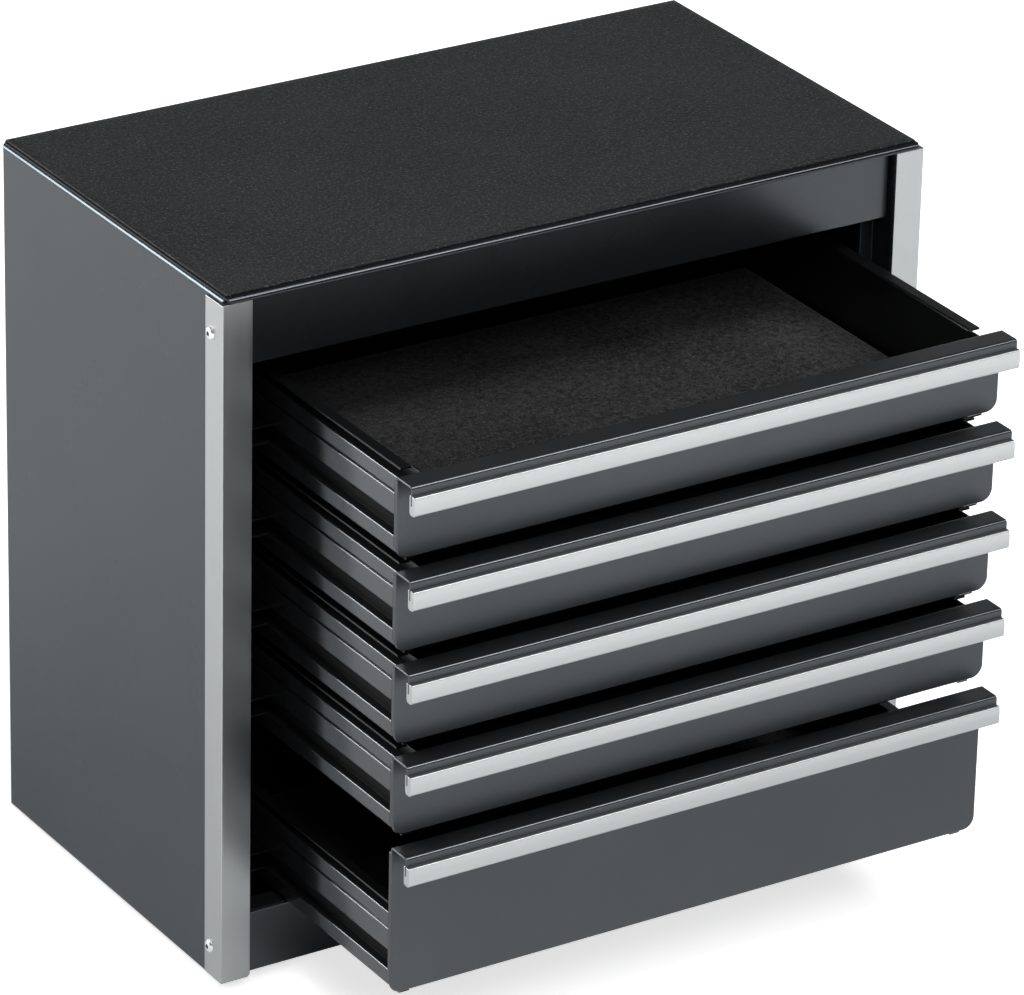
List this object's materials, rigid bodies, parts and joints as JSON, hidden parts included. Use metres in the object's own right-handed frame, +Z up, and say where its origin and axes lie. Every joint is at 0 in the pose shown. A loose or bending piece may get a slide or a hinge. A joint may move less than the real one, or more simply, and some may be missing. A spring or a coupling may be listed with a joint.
{
  "type": "drawer tool chest",
  "caption": "Small free-standing steel tool chest with sliding drawers on folded rails, lipped fronts, aluminium pull strips, corner trims and a grained top mat.",
  "frame": {"origin": "on the floor, in the middle of the footprint of the whole object with its drawers open as at rest", "axes": "+X to the right across the front, -Y out of the front where the drawers open, +Z up"},
  "size_m": [0.3106, 0.2696, 0.288],
  "materials": {
    "case_paint": "gloss",
    "drawer_paint": "gloss",
    "trim_aluminium": "satin",
    "pull_aluminium": "satin",
    "rivet_aluminium": "satin",
    "foot_rubber": "matte",
    "top_mat": "grained",
    "liner_felt": "matte"
  },
  "bodies": {
    "case": {"left_side_panel": "case_paint", "right_side_panel": "case_paint", "top_panel": "case_paint", "top_mat": "top_mat", "back_panel": "case_paint", "base_panel": "case_paint", "top_front_rail": "case_paint", "bottom_front_rail": "case_paint", "left_slide_panel": "case_paint", "right_slide_panel": "case_paint", "left_rail_1": "case_paint", "right_rail_1": "case_paint", "left_rail_2": "case_paint", "right_rail_2": "case_paint", "left_rail_3": "case_paint", "right_rail_3": "case_paint", "left_rail_4": "case_paint", "right_rail_4": "case_paint", "left_rail_5": "case_paint", "right_rail_5": "case_paint", "left_corner_trim": "trim_aluminium", "right_corner_trim": "trim_aluminium", "trim_rivets": "rivet_aluminium", "rubber_feet": "foot_rubber"},
    "drawer_1": {"drawer_1_tray": "drawer_paint", "drawer_1_front": "drawer_paint", "drawer_1_pull": "pull_aluminium", "drawer_1_liner": "liner_felt", "drawer_1_left_runner": "drawer_paint", "drawer_1_right_runner": "drawer_paint"},
    "drawer_2": {"drawer_2_tray": "drawer_paint", "drawer_2_front": "drawer_paint", "drawer_2_pull": "pull_aluminium", "drawer_2_liner": "liner_felt", "drawer_2_left_runner": "drawer_paint", "drawer_2_right_runner": "drawer_paint"},
    "drawer_3": {"drawer_3_tray": "drawer_paint", "drawer_3_front": "drawer_paint", "drawer_3_pull": "pull_aluminium", "drawer_3_liner": "liner_felt", "drawer_3_left_runner": "drawer_paint", "drawer_3_right_runner": "drawer_paint"},
    "drawer_4": {"drawer_4_tray": "drawer_paint", "drawer_4_front": "drawer_paint", "drawer_4_pull": "pull_aluminium", "drawer_4_liner": "liner_felt", "drawer_4_left_runner": "drawer_paint", "drawer_4_right_runner": "drawer_paint"},
    "drawer_5": {"drawer_5_tray": "drawer_paint", "drawer_5_front": "drawer_paint", "drawer_5_pull": "pull_aluminium", "drawer_5_liner": "liner_felt", "drawer_5_left_runner": "drawer_paint", "drawer_5_right_runner": "drawer_paint"}
  },
  "joints": [
    {"name": "drawer_1_slide", "type": "slide", "parent": "case", "child": "drawer_1", "axis": [0, -1, 0], "range_m": [-0.0846, 0.0254]},
    {"name": "drawer_2_slide", "type": "slide", "parent": "case", "child": "drawer_2", "axis": [0, -1, 0], "range_m": [-0.0846, 0.0254]},
    {"name": "drawer_3_slide", "type": "slide", "parent": "case", "child": "drawer_3", "axis": [0, -1, 0], "range_m": [-0.0846, 0.0254]},
    {"name": "drawer_4_slide", "type": "slide", "parent": "case", "child": "drawer_4", "axis": [0, -1, 0], "range_m": [-0.0846, 0.0254]},
    {"name": "drawer_5_slide", "type": "slide", "parent": "case", "child": "drawer_5", "axis": [0, -1, 0], "range_m": [-0.0846, 0.0254]}
  ]
}
